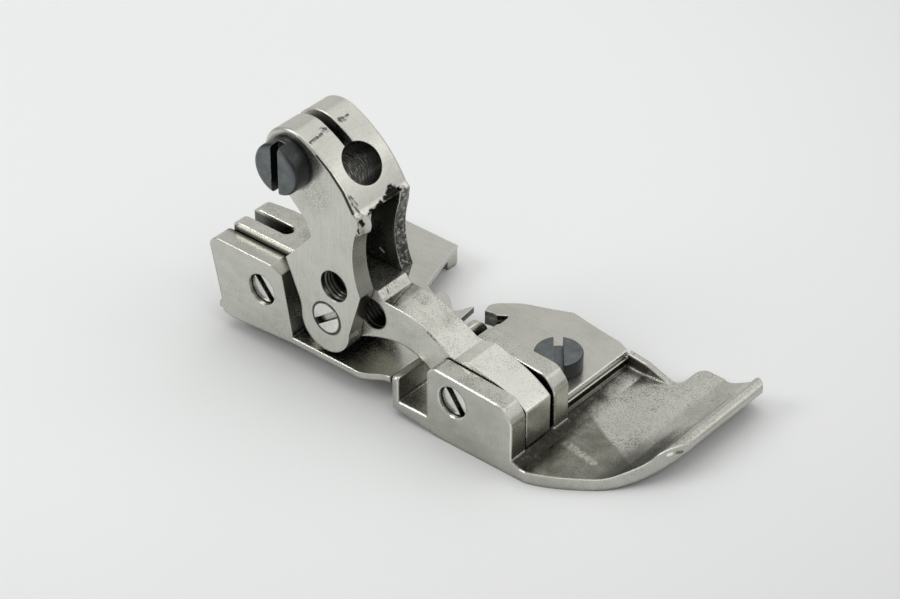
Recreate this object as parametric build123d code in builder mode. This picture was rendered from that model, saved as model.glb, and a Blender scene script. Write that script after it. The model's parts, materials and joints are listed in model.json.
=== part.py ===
from build123d import *
import os
from math import cos, radians, sin

os.makedirs("parts", exist_ok=True)

# A hinged presser foot. X runs across the foot, Y towards the heel, and Z up from the table.
# The origin lies on the flat of the front sole, below its pivot pin, in the arm's middle plane.

# Arm
arm_width = 4.84
arm_end = -8.54
arm_pad_height = 13.7
arm_pad_front = 13.26
arm_waist_height = 9.65
arm_waist_y = 1.86
fork_end = 35.96
fork_height = 13.55
fork_slot_left = -0.75
fork_slot_width = 1.85
fork_slot_start = 28.6
fork_right_face = 3.6
fork_end_right = 2.95
fork_tip_radius = 1.3
fork_corner_radius = 0.7
arm_front_right = 1.75
arm_edge_round = 0.4

# Main pivot, where the shank's legs straddle the arm
pivot_y = 19.06
pivot_height = 8.6
pivot_screw_diameter = 4.0
pivot_journal_diameter = 3.4
leg_clearance = 0.065
left_leg_thickness = 2.35
right_leg_thickness = 1.8
lock_hole_diameter = 4.0
lock_hole_reach = 5.2
lock_hole_angle = 104.5
working_turn = 57.0

# Crown of the shank, its bar bore and its clamp
crown_y = 23.79
crown_height = 28.1
crown_radius = 4.05
bore_diameter = 5.2
bore_tilt = 45.0
bore_ahead = 6.48
bore_above = 0.15
clamp_slot_width = 1.4
clamp_behind = 0.22
clamp_below = 0.2
clamp_thread_diameter = 3.0
clamp_head_diameter = 6.4
clamp_head_height = 2.5
shank_edge_round = 0.35

# Pivot pins of the two soles
pin_head_diameter = 4.0
pin_journal_diameter = 3.2
pin_sink = 0.55
front_pin_y = 0
front_pin_height = 6.07
rear_pin_y = 28.88
rear_pin_height = 8.2

# Fits
running_clearance = 0.03
seat_clearance = 0.02
ear_clearance = 0.15
fork_clearance = 0.11
driver_slot_width = 0.85
driver_slot_depth = 0.7

# Rear sole
rear_plate_bottom = 2.68
rear_plate_thickness = 0.78
rear_wall_thickness = 2.57
rear_wall_height = 12.33
rear_wall_front = 25.7
rear_wall_rear = 36.95
rear_wall_corner = 1.3
rear_plate_front = 10.61
rear_plate_rear = 35.76
rear_plate_right = 22.3
rear_ear_radius = 3.1
rear_ear_thickness = 1.7
flange_width = 1.9
flange_bend_radius = 1.1
flange_front = 22.16
tab_reach = 1.07
horn_reach = 2.74

# Front sole
sole_left = -5.1
ear_height = 9.4
ear_rear = 3.71
ear_front = -8.49
right_ear_thickness = 2.51
heel_y = 8.06
heel_wall_thickness = 0.8
heel_wall_height = 5.4
heel_wall_right = 10.9
sole_flat_end = 2.1
pad_height = 2.2
pad_front = -8.14
toe_thickness = 1.54
toe_bend_y = -17.14
toe_rim_radius = 0.9
toe_rim_y = -22.2
toe_rim_height = 3.2
toe_right = 23.0
waist_right = 18.8
side_wall_thickness = 0.75
side_wall_right = 17.66
side_wall_height = 4.1

# Finger guard
guard_front = -7.41
guard_thickness = 0.8
shim_thickness = 1.12
shim_lip = 0.32
guard_gap = 0.02
guard_screw_x = 9.94
guard_screw_y = -3.19
guard_head_diameter = 5.72
guard_head_height = 2.1
guard_thread_diameter = 3.0
guard_hole_diameter = 3.6
guard_slot_length = 1.8
head_slot_width = 1.1
head_slot_depth = 1.4

# Places that follow from the sizes above
fork_tip_height = fork_height - fork_tip_radius
leg_inner = arm_width / 2 + leg_clearance
bore_y = crown_y - bore_ahead
bore_height = crown_height + bore_above
clamp_y = crown_y + clamp_behind
clamp_height = crown_height - clamp_below
shank_left = -leg_inner - left_leg_thickness
shank_right = leg_inner + right_leg_thickness
shank_middle = (shank_left + shank_right) / 2
ear_inner = arm_width / 2 + ear_clearance
ear_right = ear_inner + right_ear_thickness
rear_plate_top = rear_plate_bottom + rear_plate_thickness
rear_wall_foot = rear_plate_bottom - 0.73
wall_heel = rear_plate_rear - 0.3
wall_corner_y = rear_wall_rear - rear_wall_corner
wall_corner_height = rear_wall_height - rear_wall_corner
horn_root = 10.4
tab_root = 12.09
rear_ear_inner = fork_right_face + fork_clearance
rear_ear_outer = rear_ear_inner + rear_ear_thickness
shim_top = pad_height + shim_thickness
guard_bottom = shim_top + guard_gap
guard_top = guard_bottom + guard_thickness
foot_rise = 0.9
foot_reach = 4.58
arm_foot = pad_height + 0.26
arm_belly = rear_plate_top + 1.14
heel_rear = heel_y + heel_wall_thickness
guard_left = ear_right + 0.15
side_wall_rear = guard_front - shim_lip - 0.03
toe_front = toe_rim_y - toe_rim_radius - 0.2
clamp_reach = shank_right - shank_left - 0.4
pin_seat_depth = 1.7
pin_end_gap = 0.2


def around(reach, angle):
    """The point at this reach and angle from the main pivot, as (y, z)."""
    turn = radians(angle)
    return pivot_y + reach * cos(turn), pivot_height + reach * sin(turn)


def across(x, y, z):
    """A plane that faces +X, for a feature whose axis runs across the foot."""
    return Plane(origin=(x, y, z), x_dir=(0, 1, 0), z_dir=(1, 0, 0))


def by_crown(dy, dz):
    """A point of the side view, measured from the crown's centre."""
    return crown_y + dy, crown_height + dz


def by_pivot(dy, dz):
    """A point of the side view, measured from the main pivot."""
    return pivot_y + dy, pivot_height + dz


def on_rim(angle):
    """A point on the toe's round rim, as (y, z); 0 degrees points forwards."""
    turn = radians(angle)
    return toe_rim_y - toe_rim_radius * cos(turn), toe_rim_height + toe_rim_radius * sin(turn)


leg_hole = around(lock_hole_reach, lock_hole_angle)
arm_hole = around(lock_hole_reach, lock_hole_angle + working_turn)

# Shank: side view first, then the pocket for the arm, the bar bore and the clamp slot
with BuildPart() as shank:
    with BuildSketch(Plane.YZ.offset(shank_left)):
        with BuildLine():
            crown_start = by_crown(-crown_radius * sin(radians(18.7)), crown_radius * cos(radians(18.7)))
            crown_top = by_crown(crown_radius * cos(radians(60)), crown_radius * sin(radians(60)))
            crown_back = by_crown(crown_radius * cos(radians(-45)), crown_radius * sin(radians(-45)))
            ThreePointArc(crown_start, crown_top, crown_back)
            Line(crown_back, by_crown(-0.33, -5.85))
            ThreePointArc(by_crown(-0.33, -5.85), by_crown(-1.78, -7.5), by_crown(-2.53, -9.4))
            Polyline(by_crown(-2.53, -9.4), by_pivot(6.05, 5.8), by_pivot(4.3, 1.6))
            ThreePointArc(by_pivot(4.3, 1.6), by_pivot(3.85, 0.3), by_pivot(3.75, -foot_rise))
            ThreePointArc(by_pivot(3.75, -foot_rise), by_pivot(0.2, -foot_reach), by_pivot(-3.4, -foot_rise))
            Line(by_pivot(-3.4, -foot_rise), by_pivot(-5.25, 5.2))
            ThreePointArc(by_pivot(-5.25, 5.2), by_crown(-8.93, -8.9), by_crown(-9.68, -5.2))
            Polyline(by_crown(-9.68, -5.2), by_crown(-9.83, -3.8), by_crown(-9.23, -3.2))
            ThreePointArc(by_crown(-9.23, -3.2), by_crown(-5.28, 1.5), crown_start)
        make_face()
    extrude(amount=shank_right - shank_left)
    upper = shank.faces().filter_by(Axis.X).edges().filter_by(lambda edge: edge.center().Z > crown_height - 4.6)
    fillet(upper, shank_edge_round)
    with BuildSketch(Plane.YZ.offset(-leg_inner)):
        with BuildLine():
            Polyline(by_crown(-13, -3.7), by_crown(-8.93, -3.7), by_crown(-5.73, -6.5))
            ThreePointArc(by_crown(-5.73, -6.5), by_crown(-4.93, -8.5), by_pivot(0.9, 9.0))
            Polyline(
                by_pivot(0.9, 9.0), by_pivot(5.0, 6.5), by_pivot(9, 6.5), by_pivot(9, -9),
                by_pivot(-10, -9), by_crown(-13, -3.7),
            )
        make_face()
    extrude(amount=2 * leg_inner, mode=Mode.SUBTRACT)
    bar_plane = Plane(
        origin=(shank_middle, bore_y, bore_height),
        x_dir=(1, 0, 0),
        z_dir=(0, -cos(radians(bore_tilt)), sin(radians(bore_tilt))),
    )
    with BuildSketch(bar_plane):
        Circle(bore_diameter / 2)
    extrude(amount=14, both=True, mode=Mode.SUBTRACT)
    with BuildSketch(bar_plane):
        with Locations((0, 6)):
            Rectangle(clamp_slot_width, 12)
    extrude(amount=14, both=True, mode=Mode.SUBTRACT)
    with BuildSketch(across(shank_left - 1, clamp_y, clamp_height)):
        Circle(clamp_thread_diameter / 2 + seat_clearance)
    extrude(amount=clamp_reach + 1, mode=Mode.SUBTRACT)
    with BuildSketch(across(shank_left - 1, pivot_y, pivot_height)):
        Circle(pivot_screw_diameter / 2 + seat_clearance)
    extrude(amount=left_leg_thickness + 1, mode=Mode.SUBTRACT)
    with BuildSketch(across(0, pivot_y, pivot_height)):
        Circle(pivot_journal_diameter / 2 + seat_clearance)
    extrude(amount=shank_right + 1, mode=Mode.SUBTRACT)
    with BuildSketch(across(shank_left - 1, *leg_hole)):
        Circle(lock_hole_diameter / 2)
    extrude(amount=left_leg_thickness + 1, mode=Mode.SUBTRACT)
shank.part.label = "shank"
export_step(shank.part, "parts/shank.step")

# Black screw that closes the split crown
with BuildPart() as clamp_screw:
    with BuildSketch(across(shank_left - clamp_head_height, clamp_y, clamp_height)):
        Circle(clamp_head_diameter / 2)
    extrude(amount=clamp_head_height - seat_clearance)
    fillet(clamp_screw.edges().sort_by(Axis.X)[0], 0.55)
    with BuildSketch(across(shank_left - clamp_head_height, clamp_y, clamp_height)):
        Rectangle(head_slot_width, clamp_head_diameter + 1)
    extrude(amount=head_slot_depth, mode=Mode.SUBTRACT)
    with BuildSketch(across(shank_left - seat_clearance, clamp_y, clamp_height)):
        Circle(clamp_thread_diameter / 2)
    extrude(amount=clamp_reach)
clamp_screw.part.label = "clamp_screw"
export_step(clamp_screw.part, "parts/clamp_screw.step")

# Slotted screw on which the shank turns, flush with the left leg
with BuildPart() as shank_pivot_screw:
    with BuildSketch(across(shank_left, pivot_y, pivot_height)):
        Circle(pivot_screw_diameter / 2)
    extrude(amount=left_leg_thickness)
    with BuildSketch(across(-leg_inner, pivot_y, pivot_height)):
        Circle(pivot_journal_diameter / 2)
    extrude(amount=leg_inner + shank_right - pin_end_gap)
    with BuildSketch(across(shank_left, pivot_y, pivot_height)):
        Rectangle(pivot_screw_diameter + 1, driver_slot_width, rotation=144)
    extrude(amount=driver_slot_depth, mode=Mode.SUBTRACT)
shank_pivot_screw.part.label = "shank_pivot_screw"
export_step(shank_pivot_screw.part, "parts/shank_pivot_screw.step")

# Arm: a bridge in side view, cut to its plan, which tapers in front and forks at the rear
with BuildPart() as hinge_arm:
    with BuildSketch(Plane.YZ.offset(-arm_width / 2)):
        with BuildLine():
            Line((arm_end, arm_foot), (arm_end, 7.3))
            Spline((arm_end, 7.3), (-6.14, 8.65), (-1.74, 9.75), (-0.04, 10.1))
            Line((-0.04, 10.1), (arm_waist_y, arm_waist_height))
            Line((arm_waist_y, arm_waist_height), (2.56, 9.75))
            Spline((2.56, 9.75), (5.56, 11.36), (7.76, 12.26), (9.96, 12.6), (12.36, 12.75))
            Line((12.36, 12.75), (arm_pad_front, arm_pad_height))
            Line((arm_pad_front, arm_pad_height), (25.06, arm_pad_height))
            Line((25.06, arm_pad_height), (27.06, fork_height))
            Line((27.06, fork_height), (fork_end - fork_tip_radius, fork_height))
            RadiusArc((fork_end - fork_tip_radius, fork_height), (fork_end, fork_tip_height), fork_tip_radius)
            Line((fork_end, fork_tip_height), (fork_end, 6.4))
            Line((fork_end, 6.4), (32.06, arm_belly))
            Line((32.06, arm_belly), (20.56, arm_belly))
            Spline(
                (20.56, arm_belly), (17.86, 5.1), (15.66, 6.24), (12.26, 7.57), (10.01, 7.94),
                (7.86, 7.65), (5.56, 6.4),
            )
            Spline((5.56, 6.4), (4.26, 4.9), (2.86, 3.4), (0.66, arm_foot))
            Line((0.66, arm_foot), (arm_end, arm_foot))
        make_face()
    extrude(amount=arm_width / 2 + fork_right_face)
    front_ridge = Vector((fork_right_face - arm_width / 2) / 2, arm_end, 7.3)
    fillet(hinge_arm.edges().sort_by(lambda edge: (edge.center() - front_ridge).length)[0], arm_edge_round)
    with BuildSketch(Plane.XY) as arm_plan:
        with BuildLine():
            Polyline(
                (-arm_width / 2, arm_end), (arm_front_right, arm_end), (arm_width / 2, -1.0),
                (arm_width / 2, 26.0),
            )
            Polyline(
                (arm_width / 2, 26.0), (fork_right_face, 27.6), (fork_right_face, 31.6),
                (fork_end_right, fork_end),
            )
            Polyline((fork_end_right, fork_end), (-arm_width / 2, fork_end), (-arm_width / 2, arm_end))
        make_face()
        slot_middle = fork_slot_left + fork_slot_width / 2
        slot_front = fork_slot_start + fork_slot_width / 2
        with Locations((slot_middle, (slot_front + fork_end) / 2)):
            Rectangle(fork_slot_width, fork_end - slot_front, mode=Mode.SUBTRACT)
        with Locations((slot_middle, slot_front)):
            Circle(fork_slot_width / 2, mode=Mode.SUBTRACT)
        fillet(arm_plan.vertices().filter_by(lambda corner: corner.Y > fork_end - 0.01), fork_corner_radius)
    extrude(amount=arm_pad_height + 1, mode=Mode.INTERSECT)
    with BuildSketch(across(-arm_width, pivot_y, pivot_height)):
        Circle(pivot_journal_diameter / 2 + running_clearance)
    extrude(amount=2 * arm_width, mode=Mode.SUBTRACT)
    with BuildSketch(across(-arm_width, front_pin_y, front_pin_height)):
        Circle(pin_journal_diameter / 2 + running_clearance)
    extrude(amount=2 * arm_width, mode=Mode.SUBTRACT)
    with BuildSketch(across(-arm_width, rear_pin_y, rear_pin_height)):
        Circle(pin_journal_diameter / 2 + running_clearance)
    extrude(amount=2 * arm_width, mode=Mode.SUBTRACT)
    with BuildSketch(across(-arm_width, *arm_hole)):
        Circle(lock_hole_diameter / 2)
    extrude(amount=2 * arm_width, mode=Mode.SUBTRACT)
hinge_arm.part.label = "hinge_arm"
export_step(hinge_arm.part, "parts/hinge_arm.step")

# Rear sole: wall, floor plate, right flange, right ear and the stitch tongue
with BuildPart() as rear_sole:
    with BuildSketch(Plane.XY.offset(rear_plate_bottom)):
        with BuildLine():
            Polyline((sole_left, rear_plate_rear), (sole_left, 14.86))
            Spline((sole_left, 14.86), (-4.75, 13.16), (-4.1, 12.16), (-3.65, 11.46), (-3.5, rear_plate_front))
            Polyline(
                (-3.5, rear_plate_front), (6.0, rear_plate_front), (horn_root, 11.75),
                (horn_root + horn_reach, 12.06),
            )
            Spline((horn_root + horn_reach, 12.06), (12.23, 12.67), (11.35, 13.09), (11.05, 13.6))
            Spline((11.05, 13.6), (11.81, 14.4), (12.62, 15.31), (tab_root + tab_reach, 17.17))
            Polyline((tab_root + tab_reach, 17.17), (tab_root, 17.19), (tab_root + 0.93, 19.22))
            Polyline(
                (tab_root + 0.93, 19.22), (rear_plate_right, flange_front),
                (rear_plate_right, rear_plate_rear),
            )
            Line((rear_plate_right, rear_plate_rear), (sole_left, rear_plate_rear))
        make_face()
    extrude(amount=rear_plate_thickness)
    with BuildSketch(Plane.YZ.offset(sole_left)):
        with BuildLine():
            Polyline(
                (24.26, rear_plate_bottom), (24.3, 3.9), (25.07, 8.13), (rear_wall_front, 11.6),
                (27.3, rear_wall_height),
            )
            Line((27.3, rear_wall_height), (wall_corner_y, rear_wall_height))
            RadiusArc((wall_corner_y, rear_wall_height), (rear_wall_rear, wall_corner_height), rear_wall_corner)
            Polyline(
                (rear_wall_rear, wall_corner_height), (wall_heel, 4.0), (wall_heel + 0.15, 3.0),
                (wall_heel - 0.4, rear_wall_foot + 0.2),
            )
            Polyline(
                (wall_heel - 0.4, rear_wall_foot + 0.2), (wall_heel - 1.5, rear_wall_foot),
                (24.26, rear_plate_bottom),
            )
        make_face()
    extrude(amount=rear_wall_thickness)
    flange_left = rear_plate_right - flange_width
    with BuildSketch(Plane.XZ.offset(-rear_plate_rear)):
        with BuildLine():
            Polyline((rear_plate_right, rear_plate_top), (rear_plate_right, 0.5))
            RadiusArc((rear_plate_right, 0.5), (rear_plate_right - 0.5, 0), 0.5)
            Polyline((rear_plate_right - 0.5, 0), (flange_left + 0.2, 0), (flange_left, rear_plate_bottom))
            Polyline(
                (flange_left, rear_plate_bottom), (flange_left - 0.6, rear_plate_top),
                (rear_plate_right, rear_plate_top),
            )
        make_face()
    extrude(amount=rear_plate_rear - flange_front - 0.2)
    flange_edge = Vector(rear_plate_right, (rear_plate_rear + flange_front) / 2, rear_plate_top)
    fillet(rear_sole.edges().sort_by(lambda edge: (edge.center() - flange_edge).length)[0], flange_bend_radius)
    with BuildSketch(across(rear_ear_inner, rear_pin_y, rear_pin_height)):
        Circle(rear_ear_radius)
        with Locations((0, (rear_plate_bottom - rear_pin_height) / 2)):
            Rectangle(2 * rear_ear_radius, rear_pin_height - rear_plate_bottom)
    extrude(amount=rear_ear_thickness)
    with BuildSketch(across(sole_left - 1, rear_pin_y, rear_pin_height)):
        Circle(pin_head_diameter / 2 + seat_clearance)
    extrude(amount=pin_seat_depth + 1, mode=Mode.SUBTRACT)
    with BuildSketch(across(sole_left - 1, rear_pin_y, rear_pin_height)):
        Circle(pin_journal_diameter / 2 + seat_clearance)
    extrude(amount=rear_ear_outer - sole_left + 2, mode=Mode.SUBTRACT)
rear_sole.part.label = "rear_sole"
export_step(rear_sole.part, "parts/rear_sole.step")

# Front sole: side view of the floor cut to its plan, then ears, heel wall and side wall
with BuildPart() as front_sole:
    with BuildSketch(Plane.YZ.offset(sole_left)):
        with BuildLine():
            Polyline((heel_rear, 2.15), (heel_rear, 1.05), (3.46, 0.45), (sole_flat_end, 0), (toe_bend_y, 0))
            Spline((toe_bend_y, 0), (-19.54, 0.4), (-21.4, 1.3), on_rim(-50))
            ThreePointArc(on_rim(-50), on_rim(45), on_rim(150))
            Spline(
                on_rim(150), (-20.85, 2.95), (-19.24, 2.05), (toe_bend_y, toe_thickness),
                tangents=((0.4, -1), (1, 0)),
            )
            Polyline(
                (toe_bend_y, toe_thickness), (-9.74, toe_thickness), (pad_front, pad_height),
                (3.66, pad_height), (heel_rear, 2.15),
            )
        make_face()
    extrude(amount=toe_right - sole_left)
    with BuildSketch(Plane.XY) as plan:
        with BuildLine():
            Line((sole_left, heel_rear), (sole_left, -10.54))
            Spline(
                (sole_left, -10.54), (-4.25, -12.69), (-2.5, -15.54), (-0.7, -17.84), (2.2, -20.24),
                (4.8, -21.74), (7.6, -22.7), (10.6, toe_front),
            )
            Line((10.6, toe_front), (toe_right - 1.1, toe_front))
            Spline(
                (toe_right - 1.1, toe_front), (toe_right - 0.25, -22.5), (toe_right, -21.34),
                (toe_right, -17.24),
            )
            Line((toe_right, -17.24), (toe_right, -14.94))
            Spline((toe_right, -14.94), (22.5, -14.29), (20.6, -14.04), (19.3, -13.84), (waist_right, -12.94))
            Polyline(
                (waist_right, -12.94), (waist_right - 0.3, -9.84), (side_wall_right, side_wall_rear),
                (17.2, 5.06), (15.8, 6.06),
            )
            Polyline(
                (15.8, 6.06), (11.2, 6.46), (heel_wall_right, 7.06), (heel_wall_right, heel_rear),
                (sole_left, heel_rear),
            )
        make_face()
    extrude(amount=10, mode=Mode.INTERSECT)
    with BuildSketch(Plane.YZ.offset(sole_left)) as ear_outline:
        with BuildLine():
            Line((ear_rear, 1.5), (ear_rear, 8.1))
            RadiusArc((ear_rear, 8.1), (ear_rear - 1.35, ear_height), -1.35)
            Line((ear_rear - 1.35, ear_height), (-6.24, 8.95))
            Spline((-6.24, 8.95), (-7.69, 8.15), (ear_front, 6.4), tangents=((-1, 0), (0, -1)))
            Polyline((ear_front, 6.4), (ear_front, 1.5), (ear_rear, 1.5))
        make_face()
    extrude(amount=-sole_left - ear_inner)
    with BuildSketch(Plane.YZ.offset(ear_inner)):
        add(ear_outline.sketch_local.face())
    extrude(amount=right_ear_thickness)
    with BuildSketch(Plane.XZ.offset(-heel_rear)):
        with BuildLine():
            Polyline(
                (sole_left, 1.6), (sole_left, 5.1), (sole_left + 0.3, heel_wall_height),
                (8.6, heel_wall_height),
            )
            Spline(
                (8.6, heel_wall_height), (9.8, 5.0), (heel_wall_right - 0.2, 3.8),
                (heel_wall_right, 2.6), tangents=((1, 0), (0, -1)),
            )
            Polyline((heel_wall_right, 2.6), (heel_wall_right, 1.6), (sole_left, 1.6))
        make_face()
    extrude(amount=heel_wall_thickness)
    with BuildSketch(Plane.XY.offset(1)):
        with BuildLine():
            Polyline((side_wall_right, side_wall_rear), (waist_right - 0.3, -9.84), (waist_right, -12.94))
            Polyline((waist_right, -12.94), (waist_right - side_wall_thickness, -12.94))
            Polyline(
                (waist_right - side_wall_thickness, -12.94),
                (waist_right - 0.3 - side_wall_thickness, -9.84),
            )
            Line(
                (waist_right - 0.3 - side_wall_thickness, -9.84),
                (side_wall_right - side_wall_thickness, side_wall_rear),
            )
            Line((side_wall_right - side_wall_thickness, side_wall_rear), (side_wall_right, side_wall_rear))
        make_face()
    extrude(amount=side_wall_height - 1)
    with BuildSketch(Plane.YZ.offset(waist_right - 3)):
        with BuildLine():
            Polyline((side_wall_rear, side_wall_height), (-9.84, 3.0), (-12.94, toe_thickness))
            Polyline((-12.94, toe_thickness), (-12.94, side_wall_height), (side_wall_rear, side_wall_height))
        make_face()
    extrude(amount=4, mode=Mode.SUBTRACT)
    with BuildSketch(across(sole_left - 1, front_pin_y, front_pin_height)):
        Circle(pin_head_diameter / 2 + seat_clearance)
    extrude(amount=pin_seat_depth + 1, mode=Mode.SUBTRACT)
    with BuildSketch(across(sole_left - 1, front_pin_y, front_pin_height)):
        Circle(pin_journal_diameter / 2 + seat_clearance)
    extrude(amount=ear_right - sole_left + 2, mode=Mode.SUBTRACT)
    with BuildSketch(Plane.XY.offset(-1)):
        with Locations((guard_screw_x, guard_screw_y)):
            Circle(guard_thread_diameter / 2 + seat_clearance)
    extrude(amount=pad_height + 2, mode=Mode.SUBTRACT)
front_sole.part.label = "front_sole"
export_step(front_sole.part, "parts/front_sole.step")

# Pins of the two soles: a slotted head sunk in the left wall, and a journal through the arm
with BuildPart() as front_pivot_pin:
    with BuildSketch(across(sole_left + pin_sink, front_pin_y, front_pin_height)):
        Circle(pin_head_diameter / 2)
    extrude(amount=pin_seat_depth - pin_sink - seat_clearance)
    with BuildSketch(across(sole_left + pin_sink, front_pin_y, front_pin_height)):
        Circle(pin_journal_diameter / 2)
    extrude(amount=ear_right - sole_left - pin_sink - pin_end_gap)
    with BuildSketch(across(sole_left + pin_sink, front_pin_y, front_pin_height)):
        Rectangle(pin_head_diameter + 1, driver_slot_width, rotation=54)
    extrude(amount=driver_slot_depth, mode=Mode.SUBTRACT)
front_pivot_pin.part.label = "front_pivot_pin"
export_step(front_pivot_pin.part, "parts/front_pivot_pin.step")

with BuildPart() as rear_pivot_pin:
    with BuildSketch(across(sole_left + pin_sink, rear_pin_y, rear_pin_height)):
        Circle(pin_head_diameter / 2)
    extrude(amount=pin_seat_depth - pin_sink - seat_clearance)
    with BuildSketch(across(sole_left + pin_sink, rear_pin_y, rear_pin_height)):
        Circle(pin_journal_diameter / 2)
    extrude(amount=rear_ear_outer - sole_left - pin_sink - pin_end_gap)
    with BuildSketch(across(sole_left + pin_sink, rear_pin_y, rear_pin_height)):
        Rectangle(pin_head_diameter + 1, driver_slot_width, rotation=50)
    extrude(amount=driver_slot_depth, mode=Mode.SUBTRACT)
rear_pivot_pin.part.label = "rear_pivot_pin"
export_step(rear_pivot_pin.part, "parts/rear_pivot_pin.step")

# Finger guard, with the hook at its rear end, over a second plate of nearly the same outline
hook_line = [
    (12.69, 10.02), (13.61, 10.32), (14.22, 10.22), (14.75, 9.9), (16.49, 7.84), (17.01, 6.75)
]
notch_line = [
    (8.84, 7.57), (10.34, 7.31), (11.58, 7.2), (11.84, 7.04), (12.52, 7.0), (13.36, 7.08),
    (13.7, 7.29), (12.91, 8.38), (12.91, 9.14), (12.69, 10.02)
]
with BuildPart() as guard_plate:
    with BuildSketch(Plane.XY.offset(guard_bottom)):
        with BuildLine():
            Polyline(
                *hook_line, (17.9, 4.46), (19.09, 1.82), (18.42, -2.56), (18.07, -5.76),
                (17.4, guard_front),
            )
            Polyline((17.4, guard_front), (guard_left, guard_front), (guard_left, 5.46), (6.6, 7.16))
            Polyline((6.6, 7.16), *notch_line)
        make_face()
        with Locations((guard_screw_x + 0.6, guard_screw_y)):
            SlotCenterToCenter(guard_slot_length, guard_hole_diameter, mode=Mode.SUBTRACT)
    extrude(amount=guard_thickness)
guard_plate.part.label = "guard_plate"
export_step(guard_plate.part, "parts/guard_plate.step")

with BuildPart() as guard_shim:
    with BuildSketch(Plane.XY.offset(pad_height + guard_gap)):
        with BuildLine():
            Polyline(
                *hook_line, (17.0, 4.46), (17.1, guard_front - shim_lip),
                (guard_left, guard_front - shim_lip),
            )
            Polyline((guard_left, guard_front - shim_lip), (guard_left, 5.46), (6.6, 7.16))
            Polyline((6.6, 7.16), *notch_line)
        make_face()
        with Locations((guard_screw_x, guard_screw_y)):
            Circle(guard_hole_diameter / 2, mode=Mode.SUBTRACT)
    extrude(amount=shim_thickness - guard_gap)
guard_shim.part.label = "guard_shim"
export_step(guard_shim.part, "parts/guard_shim.step")

# Black screw that holds the guard
with BuildPart() as guard_screw:
    with BuildSketch(Plane.XY.offset(guard_top + seat_clearance)):
        with Locations((guard_screw_x, guard_screw_y)):
            Circle(guard_head_diameter / 2)
    extrude(amount=guard_head_height)
    fillet(guard_screw.edges().sort_by(Axis.Z)[-1], 0.25)
    with BuildSketch(Plane.XY.offset(guard_top + seat_clearance + guard_head_height)):
        with Locations((guard_screw_x, guard_screw_y)):
            Rectangle(guard_head_diameter + 1, head_slot_width, rotation=40)
    extrude(amount=-head_slot_depth, mode=Mode.SUBTRACT)
    with BuildSketch(Plane.XY.offset(0.4)):
        with Locations((guard_screw_x, guard_screw_y)):
            Circle(guard_thread_diameter / 2)
    extrude(amount=guard_top + seat_clearance - 0.4)
guard_screw.part.label = "guard_screw"
export_step(guard_screw.part, "parts/guard_screw.step")
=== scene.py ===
import bpy, bmesh, json, math
from mathutils import Vector, Matrix


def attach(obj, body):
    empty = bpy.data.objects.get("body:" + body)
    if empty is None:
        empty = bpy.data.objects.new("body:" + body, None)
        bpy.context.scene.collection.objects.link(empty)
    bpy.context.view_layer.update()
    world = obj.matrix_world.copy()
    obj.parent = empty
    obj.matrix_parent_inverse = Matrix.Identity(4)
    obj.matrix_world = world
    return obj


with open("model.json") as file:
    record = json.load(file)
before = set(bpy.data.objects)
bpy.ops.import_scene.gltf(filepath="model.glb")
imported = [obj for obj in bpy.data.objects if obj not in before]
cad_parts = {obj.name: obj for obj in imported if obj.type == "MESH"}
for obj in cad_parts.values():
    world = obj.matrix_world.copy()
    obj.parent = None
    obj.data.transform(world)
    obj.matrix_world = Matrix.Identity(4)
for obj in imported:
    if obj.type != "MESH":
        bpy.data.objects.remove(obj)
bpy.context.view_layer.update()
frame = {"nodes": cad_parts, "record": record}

mm = 0.001

# places that pieces and materials share, in mm
crownBore = {"centre": (-0.275, 17.31, 28.25), "axis": (0, -0.7071, 0.7071), "inward": (0, 0.7071, -0.7071),
             "radii": (2.72, 2.62)}
clampCentre = (0, 24.01, 27.9)
legHole = (0, 17.758, 13.634)
armHole = (0, 14.129, 10.25)
holeRadii = (2.06, 1.98)
pinCentres = ((0, 0, 6.07), (0, 19.06, 8.6), (0, 28.88, 8.2))


# node helpers

def addNode(tree, kind, **settings):
    node = tree.nodes.new(kind)
    for key, value in settings.items():
        if key in node.inputs.keys():
            node.inputs[key].default_value = value
        else:
            setattr(node, key, value)
    return node


def link(tree, fromSocket, toSocket):
    tree.links.new(fromSocket, toSocket)


def feed(tree, socket, value):
    if hasattr(value, "is_linked"):
        link(tree, value, socket)
    else:
        socket.default_value = value


def ramp(tree, source, stops):
    node = tree.nodes.new("ShaderNodeValToRGB")
    elements = node.color_ramp.elements
    while len(elements) < len(stops):
        elements.new(0.5)
    for element, (place, value) in zip(elements, stops):
        element.position = place
        element.color = (value, value, value, 1) if isinstance(value, (int, float)) else (*value, 1)
    link(tree, source, node.inputs["Fac"])
    return node.outputs["Color"]


def noise(tree, coords, scale, detail=4.0, roughness=0.55):
    node = addNode(tree, "ShaderNodeTexNoise", Scale=scale, Detail=detail, Roughness=roughness)
    link(tree, coords, node.inputs["Vector"])
    return node.outputs["Fac"]


def mapped(tree, coords, scale, turn=(0, 0, 0)):
    node = addNode(tree, "ShaderNodeMapping", Scale=scale, Rotation=[math.radians(a) for a in turn])
    link(tree, coords, node.inputs["Vector"])
    return node.outputs["Vector"]


def mixColour(tree, factor, first, second, blend="MIX"):
    node = tree.nodes.new("ShaderNodeMix")
    node.data_type = "RGBA"
    node.blend_type = blend
    for socket, value in ((node.inputs[0], factor), (node.inputs[6], first), (node.inputs[7], second)):
        if isinstance(value, tuple):
            value = (*value, 1)
        feed(tree, socket, value)
    return node.outputs[2]


def maths(tree, operation, first, second=0.0, clamp=False):
    node = tree.nodes.new("ShaderNodeMath")
    node.operation = operation
    node.use_clamp = clamp
    feed(tree, node.inputs[0], first)
    feed(tree, node.inputs[1], second)
    return node.outputs[0]


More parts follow.
